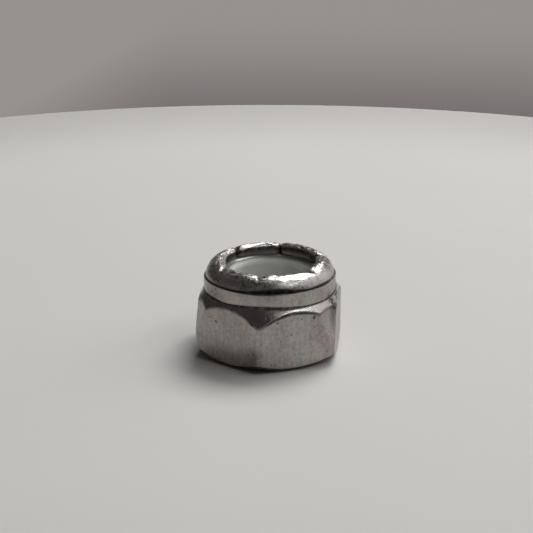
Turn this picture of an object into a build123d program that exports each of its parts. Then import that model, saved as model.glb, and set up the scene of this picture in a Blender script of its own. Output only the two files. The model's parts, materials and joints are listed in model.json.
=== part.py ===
from build123d import *
import os
from math import asin, cos, degrees, radians, sin, tan

# A nylon insert lock nut for a 5/16 inch coarse thread, in millimetres.
# Two pieces: a steel body, and a nylon ring that its rolled and crimped rim holds down in a pocket.
# The origin is the centre of the bearing face, and +Z runs up the bore towards the rolled rim.
# The hexagon's flats face +Y and -Y, and two of its corners lie on the X axis.

# Thread: right-hand unified coarse, bored here to the radius of its crests
thread_diameter = 7.94
thread_pitch = 1.411
crest_allowance = 0.19           # on the tapping hole's diameter, over the basic crest diameter

# Hexagon
across_flats = 12.7
corner_rounding = 0.75           # of the six upright edges
shoulder_angle = 50              # slope of the shoulder's cone, from level
bearing_face_setback = 0.47      # from a flat in to the edge of the round bearing face
base_chamfer_angle = 32          # from the bearing face

# Countersink at the bearing face
countersink_allowance = 0.18     # on its radius, over the thread's outer radius
countersink_angle = 45           # from the bore's axis

# Collar, above the shoulder
nut_height = 8.85
band_width = 1.28                # height of the collar's band, with the bevel at its top
band_bevel = 0.12                # height of that bevel
collar_wall = 0.85               # beside the nylon ring

# Rim: the collar's upper wall, rolled inwards over the nylon ring along a quarter of an ellipse
rim_height = 1.65                # from the top of the band to the crown
roll_setback = 0.09              # from the band in to the roll's foot
roll_span = 1.24                 # from the roll's foot in to the crown
roll_rise = 2.15                 # half height of the roll's ellipse
lip_clearance = 0.18             # from the thread's outer radius to the lip's edge
lip_drop = 0.3                   # from the crown down to the lip's edge
lip_thickness = 0.8
lip_edge_rounding = 0.12

# Creases left across the rim by the crimping tool, one over each corner of the hexagon
crease_depth = 0.2               # at the lip's edge
crease_crown_depth = 0.22        # where the crease crosses the crown
crease_angle = 115               # between the crease's two sides
crease_start = 30                # from the roll's foot up to the crease, in degrees round the ellipse
crease_overrun = 0.1             # how far it runs on past the lip's edge, falling as much

# Nylon ring and its pocket
insert_thickness = 2.25
pocket_margin = 1.23             # from the thread's outer radius out to the pocket's wall
insert_bite = 0.42               # how far the ring's bore stands inside the thread's outer radius
insert_clearance = 0.02          # between the ring and its pocket, on the radius
insert_corner = 0.5              # rounding of the ring's upper outer corner, which the bend follows
insert_bore_chamfer = 0.12

# Radii worked out from the sizes above
sides = 6
flat_radius = across_flats / 2
corner_radius = flat_radius / cos(radians(180 / sides))
bearing_face_radius = flat_radius - bearing_face_setback
thread_radius = thread_diameter / 2
thread_crest_radius = thread_radius + (crest_allowance - 1.0825 * thread_pitch) / 2
countersink_radius = thread_radius + countersink_allowance
insert_bore_radius = thread_radius - insert_bite
pocket_radius = thread_radius + pocket_margin
collar_radius = pocket_radius + collar_wall
roll_foot_radius = collar_radius - roll_setback
crown_radius = roll_foot_radius - roll_span
lip_radius = thread_radius + lip_clearance

# Heights above the bearing face, measured down from the crown so that the rim and the nylon ring
# keep their sizes when the nut's height changes
band_top = nut_height - rim_height
shoulder_top = band_top - band_width
lip_top = nut_height - lip_drop
insert_top = lip_top - lip_thickness
seat_height = insert_top - insert_thickness

# The roll's ellipse: its centre lies under the crown, and it starts where it stands on the band
roll_centre_height = nut_height - roll_rise
roll_start = degrees(asin(1 - rim_height / roll_rise))
roll_reach = roll_span / cos(radians(roll_start))

# Where the cones meet the cylinder round the hexagon's sharp corners
shoulder_foot = shoulder_top - (corner_radius - collar_radius) * tan(radians(shoulder_angle))
base_chamfer_top = (corner_radius - bearing_face_radius) * tan(radians(base_chamfer_angle))
countersink_depth = (countersink_radius - thread_crest_radius) / tan(radians(countersink_angle))

os.makedirs("parts", exist_ok=True)


def top_corner(sketch, radius):
    """The highest corner that a section has at this radius."""
    at_radius = sketch.vertices().filter_by_position(Axis.X, radius - 1e-6, radius + 1e-6)
    return at_radius.sort_by(Axis.Y)[-1]


# Cutter for the crease over the corner on +X. Its floor is one arc, from the side of the roll, where the
# crease runs out, under the crown to the lip's edge. Its section is a V that opens upwards.
cutter_height = crease_depth + crease_crown_depth
cutter_reach = cutter_height * tan(radians(crease_angle / 2))
crease_start_angle = radians(roll_start + crease_start)
crease_start_radius = crown_radius + roll_reach * cos(crease_start_angle)
crease_start_height = roll_centre_height + roll_rise * sin(crease_start_angle)

with BuildPart() as crease:
    with BuildLine(Plane.XZ) as floor:
        ThreePointArc(
            (crease_start_radius, crease_start_height),
            (crown_radius, nut_height - crease_crown_depth),
            (lip_radius - crease_overrun, lip_top - crease_depth - crease_overrun),
        )
    with BuildSketch(Plane(floor.line @ 0, x_dir=(0, -1, 0), z_dir=floor.line % 0)):
        with BuildLine():
            Polyline((0, 0), (cutter_reach, cutter_height), (-cutter_reach, cutter_height), close=True)
        make_face()
    sweep()


# Steel body: one turned section, trimmed from outside by the hexagon and creased across the rim.
with BuildPart() as nut_body:
    with BuildSketch(Plane.XZ) as section:
        with BuildLine():
            outside = Polyline(
                (countersink_radius, 0),
                (bearing_face_radius, 0),
                (corner_radius, base_chamfer_top),
                (corner_radius, shoulder_foot),
                (collar_radius, shoulder_top),
                (collar_radius, band_top - band_bevel),
                (roll_foot_radius, band_top),
            )
            roll = EllipticalCenterArc(
                center=(crown_radius, roll_centre_height),
                x_radius=roll_reach,
                y_radius=roll_rise,
                start_angle=roll_start,
                arc_size=90 - roll_start,
            )
            lip = TangentArc(roll @ 1, (lip_radius, lip_top), tangent=(-1, 0))
            Polyline(
                lip @ 1,
                (lip_radius, insert_top),
                (pocket_radius, insert_top),
                (pocket_radius, seat_height),
                (thread_crest_radius, seat_height),
                (thread_crest_radius, countersink_depth),
                (countersink_radius, 0),
            )
        make_face()
        fillet(top_corner(section, lip_radius), lip_edge_rounding)
        fillet(top_corner(section, pocket_radius), insert_corner)
    revolve(axis=Axis.Z)

    with BuildSketch() as hexagon:
        RegularPolygon(radius=flat_radius, side_count=sides, major_radius=False)
        fillet(hexagon.vertices(), corner_rounding)
    extrude(amount=nut_height, mode=Mode.INTERSECT)

    with PolarLocations(0, sides):
        add(crease.part, mode=Mode.SUBTRACT)


# Nylon ring: stands on the pocket's floor, with the rolled lip flat on its top face.
with BuildPart() as nylon_insert:
    with BuildSketch(Plane.XY.offset(seat_height)):
        Circle(pocket_radius - insert_clearance)
        Circle(insert_bore_radius, mode=Mode.SUBTRACT)
    extrude(amount=insert_thickness)

    top_edges = nylon_insert.faces().sort_by(Axis.Z)[-1].edges().sort_by(SortBy.RADIUS)
    fillet(top_edges[-1], insert_corner)
    chamfer(top_edges[0], insert_bore_chamfer)


nut_body.part.label = "nut_body"
nylon_insert.part.label = "nylon_insert"
export_step(nut_body.part, "parts/nut_body.step")
export_step(nylon_insert.part, "parts/nylon_insert.step")
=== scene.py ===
import json
from math import cos, pi, radians, sin, sqrt, tan, tau

import bpy
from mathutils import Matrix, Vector


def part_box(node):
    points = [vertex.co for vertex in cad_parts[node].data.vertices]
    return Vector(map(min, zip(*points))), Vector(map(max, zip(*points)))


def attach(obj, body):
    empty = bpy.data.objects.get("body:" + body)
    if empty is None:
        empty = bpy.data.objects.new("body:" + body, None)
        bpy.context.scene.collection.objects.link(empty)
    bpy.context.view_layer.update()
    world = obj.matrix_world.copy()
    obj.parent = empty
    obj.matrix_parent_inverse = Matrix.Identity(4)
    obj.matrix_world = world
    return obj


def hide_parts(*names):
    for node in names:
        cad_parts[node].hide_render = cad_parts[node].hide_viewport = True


# The finish of a nylon insert lock nut: a satin steel body with a rolled and crimped rim, and the nylon
# ring that the rim holds down. Geometry Nodes draw both pieces as closed sections, in millimetres up to
# the last step, which turns them into metres.
MM = 0.001

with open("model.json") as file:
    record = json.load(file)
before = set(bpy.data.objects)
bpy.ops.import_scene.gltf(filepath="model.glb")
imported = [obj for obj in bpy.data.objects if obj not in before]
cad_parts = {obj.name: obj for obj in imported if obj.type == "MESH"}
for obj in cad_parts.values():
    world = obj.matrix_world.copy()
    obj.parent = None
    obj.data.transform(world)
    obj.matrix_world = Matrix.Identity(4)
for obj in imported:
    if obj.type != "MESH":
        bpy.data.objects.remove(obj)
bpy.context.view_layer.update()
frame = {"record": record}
body_low, body_high = (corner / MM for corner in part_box("nut_body"))
ring_low, ring_high = (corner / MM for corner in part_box("nylon_insert"))
thread_mount = next(m for m in frame["record"]["mounts"] if m["name"] == "thread")

# Steel body: sizes from the frame, and the finer ones that only show close up. Slopes are rises over runs.
body_sizes = {
    "Flat radius": (body_high.y - body_low.y) / 2,
    "Corner rounding": 0.715,
    "Bearing face radius": 5.88,
    "Base slope": tan(radians(35.5)),
    "Shoulder slope": tan(radians(50.7)),
    "Shoulder top": 5.89,
    "Collar radius": 6.05,
    "Band top": 7.2,
    "Roll centre radius": 4.72,
    "Roll centre height": 6.55,
    "Roll reach": 1.28,
    "Crown": body_high.z - 0.115,
    "Lip radius": 4.16,
    "Lip bend": 0.72,
    "Lip foot": ring_high.z + 0.015,
    "Pocket radius": 5.2,
    "Seat": ring_low.z,
    "Thread pitch": 1.411,
    "Thread crest radius": thread_mount["dims"]["r_mm"],
    "Thread root radius": 3.97,
    "Crest half width": 0.23,
    "Countersink radius": 4.15,
}
sides = 6
side_turn = tau / sides
lip_turn = radians(39)           # how far the roll bends on past its crown, down to the lip's edge
thread_flank_slope = tan(radians(30))
countersink_foot = 0.06          # where the countersink gives way to the rounding of its edge

# Nylon ring
ring_sizes = {
    "Outer radius": ring_high.x,
    "Bore radius": 3.55,
    "Foot": ring_low.z + 0.005,
    "Top": ring_high.z,
    "Outer rounding": 0.5,
    "Mouth": 0.5,
}

# Roundings of the body's edges: how far each starts from the sharp corner, and the way that the chamfer
# and the cone leave it, as a run and a climb
base_ease = 0.08
shoulder_ease = 0.15
chamfer_way = (0.842, 0.539)
cone_way = (0.633, 0.774)

# Creases of the crimp: where each lies round the rim, in degrees from +X, how deep its fold is in the
# crown and at the lip's edge, how wide its flanks lie on the two sides, how far and how wide the lip is
# notched, how far the crease leans aside down the roll, and where up the roll it starts, in degrees
crease_names = ("turn", "crown", "lip", "before", "after", "notch", "open", "slant", "from")
crease_table = (
    (55, 0.20, 0.40, 0.45, 0.22, 0.16, 0.18, 0, 30),
    (109, 0.24, 0.44, 0.32, 0.60, 0.16, 0.22, 0.3, 20),
    (188, 0.27, 0.42, 0.55, 0.32, 0.24, 0.26, -0.25, 20),
    (237, 0.33, 0.45, 0.52, 0.38, 0.32, 0.24, 0.1, 8),
    (294, 0.30, 0.42, 0.35, 0.45, 0.30, 0.22, -0.55, 15),
    (353, 0.24, 0.38, 0.35, 0.55, 0.24, 0.26, 0.2, 30),
)
creases = [dict(zip(crease_names, row)) for row in crease_table]

# The rim is pressed a little out of level: how far it rises, and towards which side
rim_rise = 0.113
rim_rise_turn = radians(35)

# Lines that wander round the nut, each a list of swells: where in degrees, how wide and how high
base_swells = [(243, 15, 0.1), (176, 12, -0.25), (60, 12, 0.1), (122, 14, 0.15)]
shoulder_swells = [(352, 28, 0.45), (185, 30, 0.09), (275, 14, -0.045)]
band_foot_swells = [(208, 12, -0.11), (242, 18, 0.11), (295, 16, -0.09), (60, 20, 0.06), (130, 16, -0.07)]
seam_swells = [(338, 26, 0.22), (243, 22, -0.05), (120, 30, -0.06), (30, 24, 0.05)]
groove_swells = [(252, 22, 1.0), (300, 14, 0.3), (75, 20, 0.4)]
crown_swells = [(278, 26, -0.19)]
lip_swells = [(162, 24, -0.19), (60, 25, 0.04)]

# Places where the roll is pressed flatter just outside its crown, as swells of depth
pressed_swells = [(274, 25, 0.12), (92, 22, 0.03), (10, 20, 0.03)]

# Painted shade with some dirt, along the shoulder's edge, on the inside of the lip and on the cone below
# the band, as swells
edge_shade_swells = [
    (234, 2.5, 0.7),
    (248, 4, 0.4),
    (256, 8, 0.7),
    (275, 14, 0.55),
    (214, 14, -0.15),
    (110, 20, 0.4),
    (20, 16, 0.4),
]
lip_shade_swells = [(205, 34, 0.85), (268, 30, 0.8), (350, 14, 0.6)]
foot_shade_swells = [(262, 13, 0.9), (190, 12, 0.4), (80, 15, 0.4)]

# Corners worn or never filled near the shoulder: a facet stands at this reach from the axis at this
# height, and leans outwards on its way down
worn_corners = [
    {"turn": 177, "reach": 6.57, "height": 5.2, "lean": tan(radians(15))},
    {"turn": 300, "reach": 6.54, "height": 5.3, "lean": tan(radians(10.5))},
]

# Pits in the hexagon and the band: where round the nut in degrees, how far out, how high and how wide
deep_pits = [
    (194.5, 6.05, 6.92, 0.09),
    (193.7, 6.62, 4.37, 0.09),
    (199.6, 6.45, 4.10, 0.14),
    (198.9, 6.47, 3.08, 0.07),
    (213.5, 6.37, 3.84, 0.06),
    (253.7, 6.62, 4.76, 0.13),
    (273.9, 6.36, 4.85, 0.11),
    (284.0, 6.54, 4.83, 0.20),
    (264.9, 6.37, 3.50, 0.11),
    (241.8, 7.21, 1.91, 0.11),
    (231.2, 6.81, 1.79, 0.08),
    (235.1, 7.02, 2.01, 0.08),
    (229.4, 6.74, 0.88, 0.08),
    (248.8, 6.81, 0.91, 0.10),
    (251.5, 6.70, 0.81, 0.10),
    (294.2, 6.97, 1.42, 0.09),
]

# Smudges, partly handling marks and partly painted shade: where, in degrees round the nut and in height,
# how far they spread and how dark they are
smudges_and_shade = [
    {"turn": 309, "height": 5.5, "across": 4, "up": 0.8, "strength": 1.3},
    {"turn": 304, "height": 4.3, "across": 4, "up": 0.9, "strength": 0.7},
    {"turn": 237, "height": 1.7, "across": 7, "up": 0.6, "strength": 0.6},
    {"turn": 200, "height": 0.9, "across": 14, "up": 0.7, "strength": 0.7},
    {"turn": 228, "height": 0.8, "across": 14, "up": 0.5, "strength": 0.7},
    {"turn": 212, "height": 7.9, "across": 25, "up": 0.5, "strength": 0.6},
    {"turn": 190, "height": 6.5, "across": 12, "up": 0.5, "strength": 0.6},
    {"turn": 60, "height": 1.5, "across": 9, "up": 0.8, "strength": 0.7},
    {"turn": 140, "height": 7.8, "across": 20, "up": 0.6, "strength": 0.6},
    {"turn": 20, "height": 2.5, "across": 8, "up": 1.4, "strength": 0.6},
]

# Mesh: columns round the axis, which crowd at the hexagon's corners, and rows along the section
columns = 540
crowding = 0.45
body_section_rows = 137          # of the body's section up to its thread
ring_section_rows = 60
thread_rows = (3, 3, 2, 3)       # of each turn: over the crest, a flank, the root and the other flank


# ---------------------------------------------------------------------------------------------------------
# Node arithmetic
# ---------------------------------------------------------------------------------------------------------
class Value:
    """An output of a node tree that takes part in ordinary arithmetic. Numbers go through Math nodes, and
    vectors and colours through Vector Math nodes."""

    def __init__(self, tree, socket=None):
        self.tree = tree
        self.socket = socket

    def node(self, kind, settings=None, inputs=None, output=0):
        """Adds a node with these settings, feeds its inputs with numbers or values, and gives an output."""
        made = self.tree.nodes.new(kind)
        for name, setting in (settings or {}).items():
            setattr(made, name, setting)
        for key, given in (inputs or {}).items():
            if isinstance(given, Value):
                self.tree.links.new(given.socket, made.inputs[key])
            else:
                made.inputs[key].default_value = given
        return Value(self.tree, made.outputs[output])

    def math(self, operation, *others):
        """A Math node, or a Vector Math node where this value is a vector or a colour."""
        kind = "ShaderNodeVectorMath" if self.socket.type in ("VECTOR", "RGBA") else "ShaderNodeMath"
        return self.node(kind, {"operation": operation}, dict(enumerate((self, *others))))

    def __add__(self, other):
        return self.math("ADD", other)

    def __radd__(self, other):
        return self.math("ADD", other)

    def __sub__(self, other):
        return self.math("SUBTRACT", other)

    def __rsub__(self, other):
        return self.math("MULTIPLY", -1).math("ADD", other)

    def __mul__(self, other):
        if self.socket.type == "VECTOR":
            return self.node("ShaderNodeVectorMath", {"operation": "SCALE"}, {0: self, "Scale": other})
        return self.math("MULTIPLY", other)

    def __rmul__(self, other):
        return self * other

    def __truediv__(self, other):
        return self.math("DIVIDE", other)

    def __rtruediv__(self, other):
        return self.math("POWER", -1) * other

    def clamp(self, low=0.0, high=1.0):
        return self.node("ShaderNodeClamp", None, {"Value": self, "Min": low, "Max": high})

    def rise(self, start, end):
        """0 up to start, 1 from end on, and smooth between them."""
        return self.node(
            "ShaderNodeMapRange",
            {"interpolation_type": "SMOOTHSTEP"},
            {"Value": self, "From Min": start, "From Max": end},
        )

    def hill(self, width):
        """1 at 0, and falling off smoothly on both sides within about this width."""
        share = self / width
        return (share * share * -1).math("EXPONENT")


def cosine(angle):
    return angle.math("COSINE") if isinstance(angle, Value) else cos(angle)


def sine(angle):
    return angle.math("SINE") if isinstance(angle, Value) else sin(angle)


def noise(vector, scale, detail=2.0):
    """Smooth noise between 0 and 1, mostly near a half."""
    return vector.node("ShaderNodeTexNoise", None, {"Vector": vector, "Scale": scale, "Detail": detail})


def round_axis(turn, radius, height):
    """The point at this turn, this far from the axis and this high."""
    return turn.node(
        "ShaderNodeCombineXYZ",
        None,
        {"X": radius * turn.math("COSINE"), "Y": radius * turn.math("SINE"), "Z": height},
    )


def turn_from(turn, angle):
    """The turn from a place round the nut, given in degrees, negative before it and positive after it."""
    return (turn - radians(angle)).math("WRAP", pi, -pi)


def swells(turn, places):
    """A line that wanders: a sum of soft swells, each at an angle in degrees, with its width and height."""
    total = 0
    for angle, width, height in places:
        total = total + turn_from(turn, angle).hill(radians(width)) * height
    return total


# ---------------------------------------------------------------------------------------------------------
# Turned sections
# ---------------------------------------------------------------------------------------------------------
class Outline:
    """A closed section, drawn leg by leg as distances from the axis and heights. Each leg has its own rows
    of the mesh. Its share runs from 0 to 1 over them and then stays at 1, so the legs simply add up. The
    shares of the legs that are named are kept, for painted shade, dirt and finish to follow."""

    def __init__(self, row, turn, r, z):
        self.row = row
        self.turn = turn
        self.rows = 0
        self.r, self.z = r, z
        self.end = (r, z)
        self.legs = {}

    def share(self, rows, name):
        share = ((self.row - self.rows) / rows).clamp()
        self.rows += rows
        if name:
            self.legs[name] = share
        return share

    def line(self, r, z, rows, name=None):
        share = self.share(rows, name)
        self.r = self.r + (r - self.end[0]) * share
        self.z = self.z + (z - self.end[1]) * share
        self.end = (r, z)

    def bend(self, corner, r, z, rows, name=None):
        """Rounds off a corner, from where the outline has come to up to its next point."""
        share = self.share(rows, name)
        pull = 2 * share * (1 - share)
        reach = share * share
        self.r = self.r + (corner[0] - self.end[0]) * pull + (r - self.end[0]) * reach
        self.z = self.z + (corner[1] - self.end[1]) * pull + (z - self.end[1]) * reach
        self.end = (r, z)

    def arc(self, centre, reach, height, start, stop, rows, name=None):
        """Part of an ellipse, by its centre, its half width, its half height and two angles."""
        share = self.share(rows, name)
        angle = (stop - start) * share + start
        self.r = self.r + angle.math("COSINE") * reach - cosine(start) * reach
        self.z = self.z + angle.math("SINE") * height - sine(start) * height
        self.end = (centre[0] + cosine(stop) * reach, centre[1] + sine(stop) * height)

    def climb(self, wall, z, rows, name=None):
        """Straight up a wall whose distance from the axis depends on the height."""
        share = self.share(rows, name)
        rise = (z - self.end[1]) * share
        self.r = self.r + wall(rise + self.end[1]) - self.end[0]
        self.z = self.z + rise
        self.end = (wall(z), z)


def start_tree(name, sizes):
    """A Geometry Nodes tree with a named input for each size, and those inputs by name."""
    tree = bpy.data.node_groups.new(name, "GeometryNodeTree")
    tree.interface.new_socket("Geometry", in_out="OUTPUT", socket_type="NodeSocketGeometry")
    for size in sizes:
        tree.interface.new_socket(size, in_out="INPUT", socket_type="NodeSocketFloat")
    given = tree.nodes.new("NodeGroupInput")
    return Value(tree), {size: Value(tree, given.outputs[size]) for size in sizes}


def turned_grid(start, rows):
    """A grid that will be wrapped round the axis, the column and row of each of its vertices, and the turn
    of its column. The columns stand closer together at the hexagon's corners."""
    grid = start.node("GeometryNodeMeshGrid", None, {"Vertices X": columns + 1, "Vertices Y": rows + 1})
    index = start.node("GeometryNodeInputIndex")
    column = ((index + 0.5) / (rows + 1)).math("FLOOR")
    row = index - column * (rows + 1)
    even = column * (tau / columns)
    turn = even - (even * sides).math("SINE") * (crowding / sides)
    return grid, row, turn


def close_grid(start, grid, place, material, marks=None):
    """Puts the vertices in their places, joins the grid's edges and ends the tree with its material. Marks
    are values that the material reads by their names."""
    joined_within = 0.0005 * MM
    smooth_under = radians(38)
    shape = start.node("GeometryNodeSetPosition", None, {"Geometry": grid, "Position": place * MM})
    for name, value in (marks or {}).items():
        shape = start.node(
            "GeometryNodeStoreNamedAttribute",
            {"data_type": "FLOAT", "domain": "POINT"},
            {"Geometry": shape, "Name": name, "Value": value},
        )
    shape = start.node("GeometryNodeMergeByDistance", None, {"Geometry": shape, "Distance": joined_within})
    angle = start.node("GeometryNodeInputMeshEdgeAngle")
    sharp = start.node("FunctionNodeCompare", {"operation": "GREATER_THAN"}, {0: angle, 1: smooth_under})
    shape = start.node(
        "GeometryNodeSetShadeSmooth",
        {"domain": "EDGE"},
        {"Geometry": shape, "Selection": sharp, "Shade Smooth": False},
    )
    shape = start.node("GeometryNodeRealizeInstances", None, {"Geometry": shape})
    shape = start.node("GeometryNodeSetMaterial", None, {"Geometry": shape, "Material": material})
    end = start.tree.nodes.new("NodeGroupOutput")
    start.tree.links.new(shape.socket, end.inputs["Geometry"])


# ---------------------------------------------------------------------------------------------------------
# Steel body
# ---------------------------------------------------------------------------------------------------------
def hexagon_radius(turn, flat_radius, rounding):
    """How far out the hexagon's rounded outline lies. Its corners are at turns of 0, 60 and so on."""
    from_corner = turn.math("PINGPONG", side_turn / 2)
    flat = flat_radius / (side_turn / 2 - from_corner).math("COSINE")
    centre = (flat_radius - rounding) / cos(side_turn / 2)
    across = centre * from_corner.math("SINE")
    inside = (rounding * rounding - across * across).math("MAXIMUM", 0)
    corner = centre * from_corner.math("COSINE") + inside.math("SQRT")
    out_along, out_across = rounding * cos(side_turn / 2), rounding * sin(side_turn / 2)
    tangent = out_across.math("ARCTAN2", centre + out_along)
    rounded = from_corner.math("LESS_THAN", tangent)
    return flat + (corner - flat) * rounded


def worn_radius(turn, side, height):
    """How far out the hexagon's wall lies at this height, with its worn corners."""
    softness = 0.08
    least_facing = 0.5
    radius = side
    for corner in worn_corners:
        reach = (corner["height"] - height) * corner["lean"] + corner["reach"]
        facing = (turn - radians(corner["turn"])).math("COSINE").math("MAXIMUM", least_facing)
        radius = radius.math("SMOOTH_MIN", reach / facing, softness)
    return radius


def shoulder_line(turn, size, side):
    """How high the shoulder's cone ends at the collar, and how high it meets the hexagon's wall."""
    softness = 0.04
    least_facing = 0.86
    slope = size["Shoulder slope"]
    top = size["Shoulder top"] + swells(turn, shoulder_swells)
    edge = top - (side - size["Collar radius"]) * slope
    for corner in worn_corners:
        facing = (turn - radians(corner["turn"])).math("COSINE").math("MAXIMUM", least_facing)
        foot_reach = (corner["reach"] + corner["height"] * corner["lean"]) / facing
        gap = foot_reach - size["Collar radius"] - top / slope
        met = gap / (corner["lean"] / facing - 1 / slope)
        edge = edge.math("SMOOTH_MAX", met, softness)
    return top, edge


def draw_base(out, size, side):
    """Over the bearing face, and up its chamfer to the hexagon's wall."""
    ease = 0.06
    run, climb = chamfer_way
    face_radius = size["Bearing face radius"] + swells(out.turn, base_swells)
    top = (side - face_radius) * size["Base slope"]
    out.bend((size["Countersink radius"], 0), size["Countersink radius"] + ease, 0, rows=3)
    out.line(face_radius - ease, 0, rows=4)
    out.bend((face_radius, 0), face_radius + ease * run, ease * climb, rows=3, name="base start")
    out.line(side - base_ease * run, top - base_ease * climb, rows=4)
    out.bend((side, top), side, top + base_ease, rows=4, name="base end")


def draw_hexagon(out, side, shoulder_edge):
    """Up the hexagon's wall and over the shoulder's edge on to its cone."""

    def wall(height):
        return worn_radius(out.turn, side, height)

    run, climb = cone_way
    plain_top = 2.6
    # A strip under the shoulder's edge, which the material darkens with painted shade
    shaded_strip = 0.14
    wall_top = shoulder_edge - shoulder_ease
    out.climb(wall, plain_top, rows=3)
    out.climb(wall, wall_top - shaded_strip, rows=15)
    out.climb(wall, wall_top, rows=2, name="near edge")
    out.bend(
        (wall(shoulder_edge), shoulder_edge),
        wall(shoulder_edge) - shoulder_ease * run,
        shoulder_edge + shoulder_ease * climb,
        rows=6,
        name="over edge",
    )


def draw_collar(out, size, shoulder_top, band_top):
    """Up the shoulder's cone, round its foot on the collar, and up the band."""
    run, climb = cone_way
    bevel = 0.1
    collar = size["Collar radius"]
    band_foot = shoulder_top + shoulder_ease + swells(out.turn, band_foot_swells)
    out.line(collar + shoulder_ease * run, shoulder_top - shoulder_ease * climb, rows=5, name="up cone")
    out.bend((collar, shoulder_top), collar, band_foot, rows=5, name="at foot")
    out.line(collar, band_top - bevel, rows=5)
    out.bend((collar, band_top), collar - bevel, band_top, rows=4, name="band edge")


def draw_roll(out, size, crown, band_top):
    """Into the groove above the band, and up the roll's ellipse to its crown. The groove is a fine seam
    that gapes where the roll stands off the band."""
    seam_height, gape_height = 0.06, 0.4
    seam_depth, gape_depth = 0.03, 0.3
    above_band, under_roll = 0.02, 0.04
    centre_radius, centre_height = size["Roll centre radius"], size["Roll centre height"]
    gape = swells(out.turn, groove_swells)
    foot = band_top + seam_height + gape * gape_height
    rise = crown - centre_height
    first = ((foot - centre_height) / rise).math("ARCSINE")
    seam_radius = centre_radius + first.math("COSINE") * size["Roll reach"]
    groove_radius = seam_radius - seam_depth - gape * gape_depth
    out.line(groove_radius, band_top + above_band, rows=3)
    out.line(groove_radius, foot - under_roll, rows=1)
    out.line(seam_radius, foot, rows=3)
    out.arc((centre_radius, centre_height), size["Roll reach"], rise, first, pi / 2, rows=30, name="roll")


def draw_lip(out, size, crown):
    """Down the roll's inner side, round the lip's edge and down to the nylon ring."""
    edge_width, edge_drop, edge_end = 0.09, 0.06, 0.16
    ease = 0.04
    foot = size["Lip foot"]
    centre_radius = size["Roll centre radius"]
    lip_radius = size["Lip radius"] + swells(out.turn, lip_swells)
    reach = (centre_radius - lip_radius - edge_width) / sin(lip_turn)
    centre = (centre_radius, crown - size["Lip bend"])
    out.arc(centre, reach, size["Lip bend"], pi / 2, pi / 2 + lip_turn, rows=10, name="inwards")
    edge = out.end[1]
    out.bend((lip_radius, edge - edge_drop), lip_radius, edge - edge_end, rows=6, name="round lip")
    out.line(lip_radius, foot + ease, rows=5, name="down lip")
    out.bend((lip_radius, foot), lip_radius + ease, foot, rows=2)


def draw_pocket(out, size):
    """Out over the nylon ring and down beside it, out of sight, then in over the seat to the bore."""
    pocket, foot, seat = size["Pocket radius"], size["Lip foot"], size["Seat"]
    corner = 0.5
    bore = thread_radius(out.turn, size, seat)
    out.line(pocket - corner, foot, rows=3, name="hidden")
    out.bend((pocket, foot), pocket, foot - corner, rows=5)
    out.line(pocket, seat, rows=2)
    out.line(bore + 0.05, seat, rows=3)
    out.line(bore, seat, rows=1)


def thread_radius(turn, size, height):
    """How far out the bore's wall lies at this height: the thread, opened out by the countersink."""
    softness = 0.05
    pitch = size["Thread pitch"]
    travel = height / pitch - turn / tau
    from_crest = (travel + 0.5).math("FRACT").math("SUBTRACT", 0.5).math("ABSOLUTE") * pitch
    depth = (from_crest - size["Crest half width"]) / thread_flank_slope
    depth = depth.clamp(0, size["Thread root radius"] - size["Thread crest radius"])
    countersink = size["Countersink radius"] - height
    return (size["Thread crest radius"] + depth).math("SMOOTH_MAX", countersink, softness)


def draw_thread(out, size):
    """Down the thread. Its rows follow the helix, and stop at the seat and at the countersink's foot."""
    pitch = size["Thread pitch"]
    pitch_rows = sum(thread_rows)
    count = (out.row - out.rows).math("MAXIMUM", 0)
    whole = (count / pitch_rows + 0.001).math("FLOOR")
    part = count - whole * pitch_rows
    crest_share = 2 * body_sizes["Crest half width"] / body_sizes["Thread pitch"]
    depth = body_sizes["Thread root radius"] - body_sizes["Thread crest radius"]
    flank_share = depth * thread_flank_slope / body_sizes["Thread pitch"]
    widths = (crest_share, flank_share, 1 - crest_share - 2 * flank_share, flank_share)
    fallen = whole
    first = 0
    for rows, width in zip(thread_rows, widths):
        fallen = fallen + (part - first).clamp(0, rows) * (width / rows)
        first += rows
    # The first row starts at a crest's edge
    lead = crest_share / 2 + (size["Seat"] / pitch).math("FRACT")
    height = size["Seat"] + (out.turn / tau + 1 - lead - fallen + lead.math("FLOOR")) * pitch
    height = height.math("MINIMUM", size["Seat"]).math("MAXIMUM", countersink_foot)
    out.r = out.r + thread_radius(out.turn, size, height) - thread_radius(out.turn, size, size["Seat"])
    out.z = out.z + height - size["Seat"]


def crease_shape(crease, aside, ahead, inwards):
    """How deep a crease is: a fold with a soft flank on each side, which deepens up the roll and towards
    the lip. Its place is given by the distance aside from it and the angle ahead up the roll."""
    softness = 0.002
    full_depth_turn = radians(80)
    fold_width, fold_share = 0.1, 0.35
    after = aside.math("GREATER_THAN", 0)
    width = after * (crease["after"] - crease["before"]) + crease["before"]
    distance = (aside * aside + softness).math("SQRT") - sqrt(softness)
    flanks = (distance / width * -1).math("EXPONENT")
    shape = flanks * (1 - fold_share) + aside.hill(fold_width) * fold_share
    growth = ahead.rise(radians(crease["from"]), full_depth_turn) * crease["crown"]
    growth = growth + inwards * (crease["lip"] - crease["crown"])
    return shape * growth


def unevenness(out):
    """Lumps, dents and dimples left in the roll by the crimping tool."""
    around = round_axis(out.turn, 7, out.row * 0.25)
    along_roll = round_axis(out.turn, 6, out.row * 0.083)
    lumps = noise(around, 0.85, 1.0).clamp(0.25, 0.8) * 0.14 - 0.04
    dents = noise(around, 3.5, 1.0).clamp(0.3, 0.75) * 0.004
    dimples = noise(along_roll, 1.5, 1.0).clamp(0.25, 0.75) * 0.06
    return lumps + dents + dimples


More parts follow.
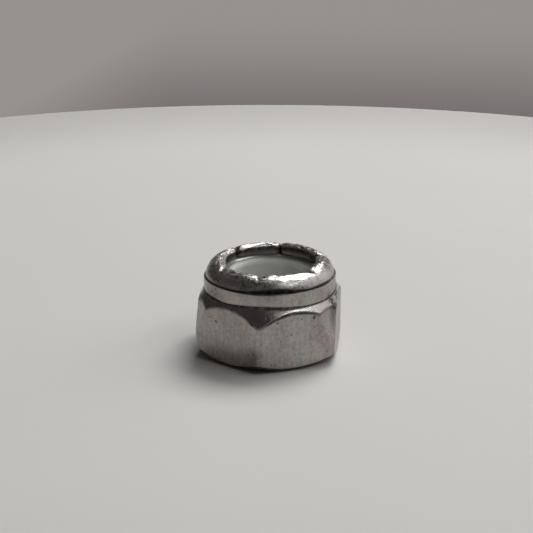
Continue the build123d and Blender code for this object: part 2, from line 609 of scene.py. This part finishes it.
def crimp(out, size):
    """Presses the creases, the slots through the lip and the roll's unevenness into the section. Adds the
    shares of the folds and the slots to its legs."""
    slot_depth = 0.17
    pressed_at, pressed_width = 0.73, 0.17
    roll, inwards, hidden = out.legs["roll"], out.legs["inwards"], out.legs["hidden"]
    ahead = roll * (pi / 2) + inwards * lip_turn
    depth = notch = folds = slots = 0
    for crease in creases:
        aside = turn_from(out.turn, crease["turn"]) * size["Roll centre radius"]
        aside = aside + ahead.math("COSINE") * crease["slant"]
        depth = depth + crease_shape(crease, aside, ahead, inwards)
        notch = notch + aside.hill(crease["open"]) * crease["notch"]
        folds = folds + aside.hill(0.07) * ahead.rise(radians(crease["from"] + 5), radians(65))
        cut = aside.hill(crease["open"] * 0.75) * ahead.rise(radians(55), radians(84))
        depth = depth + cut * slot_depth
        slots = slots + cut.rise(0.35, 0.75)
    depth = depth + unevenness(out) * roll.rise(0, 0.35)
    pressed = (roll - pressed_at).hill(pressed_width) * (1 - inwards)
    depth = depth + pressed * swells(out.turn, pressed_swells)
    on_roll = roll * (1 - hidden)
    lip_rows = inwards.rise(0.75, 1)
    out.r = out.r - ahead.math("COSINE") * depth * on_roll + notch * lip_rows * (1 - hidden)
    out.z = out.z - ahead.math("SINE") * depth * (roll * (1 - out.legs["down lip"]))
    # The folds and the slots carry painted shade: the material darkens the creases' valleys and the lip's
    # notches with them
    out.legs["folds"] = folds * on_roll
    out.legs["slots"] = slots


def painted_shade_and_dirt(out):
    """Painted shade with some dirt: darkening in the seam under the roll, on and in the lip and its slots,
    at the band's foot, on the shoulder's edge and on the base chamfer."""
    leg = out.legs
    seam = leg["band edge"].rise(0.1, 0.8) * (1 - leg["roll"].rise(0, 0.06))
    lip = leg["round lip"].rise(0.25, 0.9) * (1 - leg["down lip"].rise(0.1, 1) * 0.7)
    lip = lip + leg["slots"] * (1 - leg["down lip"].rise(0, 0.4))
    lip = lip + leg["inwards"].rise(0.0, 0.45) * swells(out.turn, lip_shade_swells)
    foot = leg["at foot"] * (1 - leg["at foot"]) * 7
    foot = foot + leg["up cone"].rise(0.35, 1) * (1 - leg["at foot"]) * swells(out.turn, foot_shade_swells)
    edge = leg["near edge"].rise(0.2, 0.9) * (1 - leg["over edge"].rise(0.45, 0.95))
    edge = edge * (swells(out.turn, edge_shade_swells) + 0.4)
    base = leg["base start"] * (1 - leg["base end"]) * 0.95
    return (seam + lip * (1 - leg["hidden"]) + foot + edge + base).clamp()


def smudged_and_shaded(out):
    """Smudges on the hexagon and the roll: handling marks, and painted shade where they darken the roll's
    left side and the feet of the flats on the left.
    """
    total = 0
    for smudge_and_shade in smudges_and_shade:
        across = turn_from(out.turn, smudge_and_shade["turn"]).hill(radians(smudge_and_shade["across"]))
        total = total + across * (out.z - smudge_and_shade["height"]).hill(smudge_and_shade["up"]) * smudge_and_shade["strength"]
    return total * (1 - out.legs["hidden"])


def body_tree(material):
    """The steel body. The section runs out over the bearing face, up the hexagon and the collar, over the
    rolled rim, down inside the pocket and back down the thread."""
    start, size = start_tree("nut_body_shape", body_sizes)
    # Two turns more than the thread has, for its rows to reach the foot and the seat all the way round
    thread_turns = (ring_low.z - countersink_foot) / body_sizes["Thread pitch"] + 2
    helix_rows = int(thread_turns * sum(thread_rows)) + 1
    grid, row, turn = turned_grid(start, body_section_rows + helix_rows)

    # The hexagon's flats have faint hollows
    hollows = noise(round_axis(turn, 7, row * 0.25), 0.4).clamp(0.3, 0.8) * 0.05 - 0.015
    side = hexagon_radius(turn, size["Flat radius"], size["Corner rounding"]) - hollows
    shoulder_top, shoulder_edge = shoulder_line(turn, size, side)
    band_top = size["Band top"] + swells(turn, seam_swells)
    crown = size["Crown"] + (turn - rim_rise_turn).math("COSINE") * rim_rise + swells(turn, crown_swells)

    out = Outline(row, turn, size["Countersink radius"] - countersink_foot, countersink_foot)
    draw_base(out, size, side)
    draw_hexagon(out, side, shoulder_edge)
    draw_collar(out, size, shoulder_top, band_top)
    draw_roll(out, size, crown, band_top)
    draw_lip(out, size, crown)
    draw_pocket(out, size)
    assert out.rows == body_section_rows
    crimp(out, size)
    draw_thread(out, size)

    # Marks for the material: painted shade with some dirt, smudges that are partly painted shade, the
    # painted shade of the creases' folds, and the turned finish
    marks = {
        "shade_and_dirt": painted_shade_and_dirt(out),
        "smudge_and_shade": smudged_and_shaded(out),
        "fold": out.legs["folds"],
        "turned": out.legs["over edge"] * (1 - out.legs["at foot"]) + out.legs["roll"].rise(0, 0.1),
    }
    close_grid(start, grid, round_axis(turn, out.r, out.z), material, marks)
    return start.tree


# ---------------------------------------------------------------------------------------------------------
# Nylon ring
# ---------------------------------------------------------------------------------------------------------
def ring_tree(material):
    """The nylon ring. Its mouth, inside the lip, is one smooth funnel."""
    start, size = start_tree("nylon_ring_shape", ring_sizes)
    grid, row, turn = turned_grid(start, ring_section_rows)
    bore, outer, foot, top = size["Bore radius"], size["Outer radius"], size["Foot"], size["Top"]
    ease = 0.1
    mouth = size["Mouth"]
    out = Outline(row, turn, bore, foot + ease)
    out.bend((bore, foot), bore + ease, foot, rows=4)
    out.line(outer - ease, foot, rows=4)
    out.bend((outer, foot), outer, foot + ease, rows=4)
    out.line(outer, top - size["Outer rounding"], rows=4)
    out.bend((outer, top), outer - size["Outer rounding"], top, rows=8)
    out.line(bore + mouth + 0.1, top, rows=6)
    out.bend((bore + 0.12, top - 0.08), bore, top - mouth * 1.5, rows=16)
    out.line(bore, foot + ease, rows=14)
    assert out.rows == ring_section_rows
    close_grid(start, grid, round_axis(turn, out.r, out.z), material)
    return start.tree


def make_piece(name, tree, sizes):
    """Runs a tree with its sizes and keeps the result as a plain mesh."""
    piece = bpy.data.objects.new(name, bpy.data.meshes.new(name))
    bpy.context.scene.collection.objects.link(piece)
    modifier = piece.modifiers.new("shape", "NODES")
    modifier.node_group = tree
    for socket in tree.interface.items_tree:
        if socket.in_out == "INPUT":
            modifier[socket.identifier] = float(sizes[socket.name])
    graph = bpy.context.evaluated_depsgraph_get()
    mesh = bpy.data.meshes.new_from_object(piece.evaluated_get(graph), depsgraph=graph)
    piece.modifiers.clear()
    piece.data = mesh
    mesh.name = name
    return piece


# ---------------------------------------------------------------------------------------------------------
# Materials
# ---------------------------------------------------------------------------------------------------------
def start_material(name):
    """A new material's shader, and the place of each point of its piece in millimetres."""
    material = bpy.data.materials.new(name)
    material.use_nodes = True
    material.node_tree.nodes.clear()
    start = Value(material.node_tree)
    shader = material.node_tree.nodes.new("ShaderNodeBsdfPrincipled")
    out = material.node_tree.nodes.new("ShaderNodeOutputMaterial")
    material.node_tree.links.new(shader.outputs[0], out.inputs[0])
    place = start.node("ShaderNodeTexCoord", output="Object") * (1 / MM)
    return material, shader, place


def feed(shader, name, value):
    """Feeds one of the shader's sockets with a value of its own tree, or with a number."""
    if isinstance(value, Value):
        value.tree.links.new(value.socket, shader.inputs[name])
    else:
        shader.inputs[name].default_value = value


def blend(factor, first, second):
    """A colour between two others."""
    return factor.node("ShaderNodeMix", {"data_type": "RGBA"}, {0: factor, 6: first, 7: second}, output=2)


def coordinates(place):
    """The three coordinates of a place."""
    split = place.node("ShaderNodeSeparateXYZ", None, {0: place}).socket.node
    return [Value(place.tree, split.outputs[axis]) for axis in range(3)]


def mark(place, name):
    """A mark that the piece's mesh carries at each of its vertices."""
    return place.node("ShaderNodeAttribute", {"attribute_name": name}, output="Fac")


def along(place, direction):
    """How far a place lies in a direction."""
    return place.node(
        "ShaderNodeVectorMath", {"operation": "DOT_PRODUCT"}, {0: place, 1: direction}, output="Value"
    )


def pit_mask(place):
    """Scattered small pits, and the deep ones in their places with ragged edges. The material paints them
    dark, as shade and dirt in them.
    """
    cells = place.node(
        "ShaderNodeTexVoronoi",
        {"feature": "F1"},
        {"Vector": place, "Scale": 1.05, "Randomness": 1.0},
        output="Distance",
    )
    pits = (1 - cells.rise(0.02, 0.12)) * noise(place, 0.8).rise(0.5, 0.62)
    raggedness = 0.22
    shift = place.node("ShaderNodeTexNoise", None, {"Vector": place, "Scale": 7.0}, output="Color")
    ragged = place + (shift - (0.5, 0.5, 0.5)) * raggedness
    for angle, reach, height, width in deep_pits:
        spot = (cos(radians(angle)) * reach, sin(radians(angle)) * reach, height)
        away_from_spot = ragged.node(
            "ShaderNodeVectorMath", {"operation": "DISTANCE"}, {0: ragged, 1: spot}, output="Value"
        )
        pits = pits + (1 - away_from_spot.rise(width * 0.45, width * 1.05))
    return pits.clamp()


def steel_material():
    """Barrel-finished stainless steel: fine upright streaks and soft mottling on the hexagon and the band,
    a glossier, speckled roll and scattered pits. Shade is painted in, with some dirt, darkening the seam,
    the creases, the corners, the pits and the smudged patches."""
    material, shader, place = start_material("satin_steel")
    x, y, z = coordinates(place)
    turned = mark(place, "turned")
    roll = turned * z.rise(6.5, 6.6)
    mottle = noise(place, 0.55, 4.0)
    speckle = noise(place, 4.2, 4.0)
    drawn = place.node("ShaderNodeCombineXYZ", None, {"X": x * 3.6, "Y": y * 3.6, "Z": z * 0.7})
    streaks = noise(drawn, 1.0, 4.0)
    pits = pit_mask(place)

    patchy = noise(place, 2.2, 3.0).rise(0.3, 0.55)
    # Painted shade with some dirt: the smudges, the marks and the pits below blend the steel towards
    # black-brown and take away much of its metal shine
    smudge_and_shade = mark(place, "smudge_and_shade") * (speckle + mottle * 0.5).rise(0.62, 0.8)
    shade_and_grime = mark(place, "shade_and_dirt") * (patchy * 0.35 + 0.65) + mark(place, "fold") * 0.9
    shade_and_grime = (shade_and_grime + pits * 0.85 + smudge_and_shade).clamp()

    tone = mottle - 0.5 + (streaks - 0.5) * 0.65 + (speckle - 0.5) * 1.1 + 0.3 + turned * 0.2
    mauve = blend(tone.clamp(), (0.30, 0.268, 0.257, 1), (0.60, 0.552, 0.532, 1))
    olive = blend(tone.clamp(), (0.28, 0.270, 0.253, 1), (0.55, 0.535, 0.510, 1))
    bare = blend(noise(place, 0.5, 3.0).rise(0.48, 0.64), mauve, olive)
    shade_and_dirt_black = (0.035, 0.030, 0.028, 1)
    feed(shader, "Base Color", blend(shade_and_grime, bare, shade_and_dirt_black))
    feed(shader, "Metallic", 1 - shade_and_grime * 0.8)

    satin = 0.34 + (streaks - 0.5) * 0.25
    glossy = 0.2 + roll * 0.13 + (speckle - 0.5) * (roll * 0.4 + 0.3)
    feed(shader, "Roughness", (satin + (glossy - satin) * turned + shade_and_grime * 0.3).clamp(0.08, 0.9))
    relief = streaks * (1 - turned) * 0.6 + speckle * (turned * 1.2 + 0.4) - pits * 2.5
    depth = {"Height": relief, "Strength": 0.3, "Distance": 0.02 * MM}
    feed(shader, "Normal", place.node("ShaderNodeBump", None, depth, output="Normal"))
    return material


def nylon_material():
    """Natural white nylon, a little waxy. Its ledge under the lip is darkened with painted shade."""
    material, shader, place = start_material("white_nylon")
    height = coordinates(place)[2]
    # Painted shade under the lip: the nylon turns dark brown towards its top
    ledge = height.rise(7.3, 7.66)
    mottle = noise(place, 0.7, 3.0)
    plain_white = blend(mottle, (0.82, 0.84, 0.80, 1), (0.88, 0.89, 0.85, 1))
    painted_lip_shade = (0.050, 0.045, 0.038, 1)
    feed(shader, "Base Color", blend(ledge * 0.9, plain_white, painted_lip_shade))
    feed(shader, "Roughness", 0.32 + (mottle - 0.5) * 0.2)
    feed(shader, "Coat Weight", 0.6)
    feed(shader, "Coat Roughness", 0.12)
    feed(shader, "Subsurface Weight", 0.5)
    feed(shader, "Subsurface Radius", (1.0, 1.0, 0.9))
    feed(shader, "Subsurface Scale", 0.6 * MM)
    return material


# ---------------------------------------------------------------------------------------------------------
# Pieces
# ---------------------------------------------------------------------------------------------------------
lock_nut_body = make_piece("lock_nut_body", body_tree(steel_material()), body_sizes)
locking_ring = make_piece("locking_ring", ring_tree(nylon_material()), ring_sizes)
for piece, node, slot in (
    (lock_nut_body, "nut_body", "stainless_steel"),
    (locking_ring, "nylon_insert", "nylon"),
):
    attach(piece, "root")
    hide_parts(node)


# ---------------------------------------------------------------------------------------------------------
# Camera, floor, backdrop and light
# ---------------------------------------------------------------------------------------------------------
camera_turn = radians(-22.3)
camera_tilt = radians(17.75)
camera_data = bpy.data.cameras.new("camera")
camera_data.lens = 79.4
camera_data.sensor_width = 36
camera_data.clip_start = 1 * MM
camera_data.clip_end = 2000 * MM
camera = bpy.data.objects.new("camera", camera_data)
camera.location = Vector((-39.19, -94.74, 40.68)) * MM
camera.rotation_euler = (pi / 2 - camera_tilt, 0, camera_turn)
bpy.context.scene.collection.objects.link(camera)
bpy.context.scene.camera = camera

# Unit directions over the floor, to the right of the view and away from the camera
rightwards = Vector((cos(camera_turn), sin(camera_turn), 0))
away = Vector((-sin(camera_turn), cos(camera_turn), 0))

# A round sheet that the nut stands on, and a round wall far behind it in two bands
floor_centre = away * 30
floor_radius = 100
floor_steps = 128
wall_radius = 260
wall_steps = 96
wall_bands = {"backdrop": (-60, 45), "backdrop_top": (45, 260)}


def floor_material():
    """A pale matt sheet. It turns a little darker towards its far edge, a painted shade."""
    material, shader, place = start_material("pale_floor")
    x, y, _ = coordinates(place - tuple(floor_centre))
    from_centre = (x * x + y * y).math("SQRT")
    pale = blend(noise(place, 0.05, 3.0), (0.640, 0.623, 0.603, 1), (0.668, 0.652, 0.631, 1))
    shaded = (0.36, 0.34, 0.325, 1)
    feed(shader, "Base Color", blend(from_centre.rise(55, 102) * 0.5, pale, shaded))
    feed(shader, "Roughness", 0.8)
    return material


def backdrop_material():
    """A grey backdrop whose light is painted: it glows instead of being lit, darker at its foot, dim on the
    camera's side, with a pale end on the right and a dark one on the left. Only the camera and reflections
    see its glow."""
    material, shader, place = start_material("grey_backdrop")
    height = coordinates(place)[2]
    mottle = noise(place, 0.01)
    rightward = along(place, rightwards)
    leftward = rightward * -1
    behind = along(place, away + rightwards * 0.5)
    painted_dark_foot, grey_wall = (0.165, 0.150, 0.148, 1), (0.305, 0.284, 0.271, 1)
    painted_dim_front, painted_bright_end, painted_dark_end = (0.05, 0.048, 0.047, 1), (0.75, 0.73, 0.72, 1), (0.03, 0.028, 0.027, 1)
    painted_lit = height.rise(-32, 6) + leftward.rise(25, 90) * 0.9
    glow = blend(painted_lit.clamp() * 0.97 + mottle * 0.03, painted_dark_foot, grey_wall)
    glow = blend(behind.rise(-100, 190), painted_dim_front, glow)
    glow = blend(rightward.rise(85, 130), glow, painted_bright_end)
    glow = blend(leftward.rise(95, 170), glow, painted_dark_end)
    rays = place.tree.nodes.new("ShaderNodeLightPath").outputs
    seen = 0
    for ray in ("Is Camera Ray", "Is Glossy Ray", "Is Transmission Ray"):
        seen = seen + Value(place.tree, rays[ray])
    feed(shader, "Base Color", (0.02, 0.02, 0.02, 1))
    feed(shader, "Roughness", 1.0)
    feed(shader, "Specular IOR Level", 0.0)
    feed(shader, "Emission Color", blend(seen.clamp(), (0, 0, 0, 1), glow))
    feed(shader, "Emission Strength", 1.0)
    return material


def stage_mesh(name, vertices, faces, material):
    """A smooth part of the stage, from its vertices in millimetres."""
    mesh = bpy.data.meshes.new(name)
    mesh.from_pydata([tuple(v * MM) for v in vertices], [], faces)
    mesh.materials.append(material)
    mesh.polygons.foreach_set("use_smooth", [True] * len(mesh.polygons))
    made = bpy.data.objects.new(name, mesh)
    bpy.context.scene.collection.objects.link(made)
    return made


def circle(radius, steps, start=0.0):
    """Points round the Z axis. The last one isn't the first again."""
    turns = [start + tau * i / steps for i in range(steps)]
    return [Vector((cos(turn), sin(turn), 0)) * radius for turn in turns]


def make_floor():
    edge = [floor_centre + point for point in circle(floor_radius, floor_steps)]
    stage_mesh("floor", edge, [tuple(range(floor_steps))], floor_material())


def make_backdrop():
    """The wall's two bands. The lamps stand behind it, so it casts no shadow, and only its lower band
    shows in reflections."""
    seam = camera_turn - pi / 2
    foot = circle(wall_radius, wall_steps, seam)
    foot.append(foot[0])
    above = wall_steps + 1
    faces = [(i, i + 1, above + i + 1, above + i) for i in range(wall_steps)]
    material = backdrop_material()
    for name, heights in wall_bands.items():
        wall = [v + Vector((0, 0, height)) for height in heights for v in foot]
        band = stage_mesh(name, wall, faces, material)
        band.visible_shadow = False
        band.visible_diffuse = False
        band.visible_glossy = name == "backdrop"


def soft_light(name, bearing, elevation, size, strength):
    """A soft panel aimed at the nut. Its bearing is in degrees from the camera's side, positive to the
    right, its size in millimetres, and its strength is how bright the panel looks."""
    distance = 700
    bearing, elevation = radians(bearing), radians(elevation)
    over_floor = rightwards * sin(bearing) - away * cos(bearing)
    direction = over_floor * cos(elevation) + Vector((0, 0, sin(elevation)))
    data = bpy.data.lights.new(name, "AREA")
    data.shape = "RECTANGLE"
    data.size, data.size_y = size[0] * MM, size[1] * MM
    data.energy = strength * pi * data.size * data.size_y
    lamp = bpy.data.objects.new(name, data)
    lamp.location = direction * distance * MM + Vector((0, 0, 4 * MM))
    lamp.rotation_euler = direction.to_track_quat("Z", "Y").to_euler()
    lamp.visible_camera = False
    bpy.context.scene.collection.objects.link(lamp)


make_floor()
make_backdrop()
soft_light("window_panel", 150, 55, (400, 300), 9.8)
soft_light("side_panel", 55, 47, (560, 540), 0.45)
soft_light("low_side_panel", 105, 27, (650, 430), 0.95)
soft_light("overhead_panel", 90, 80, (400, 400), 0.5)
soft_light("strip_panel", 62, 50, (600, 40), 6.5)

world = bpy.data.worlds.new("studio")
world.use_nodes = True
world.node_tree.nodes["Background"].inputs["Color"].default_value = (0.05, 0.048, 0.047, 1)
bpy.context.scene.world = world
bpy.context.scene.view_settings.view_transform = "Standard"
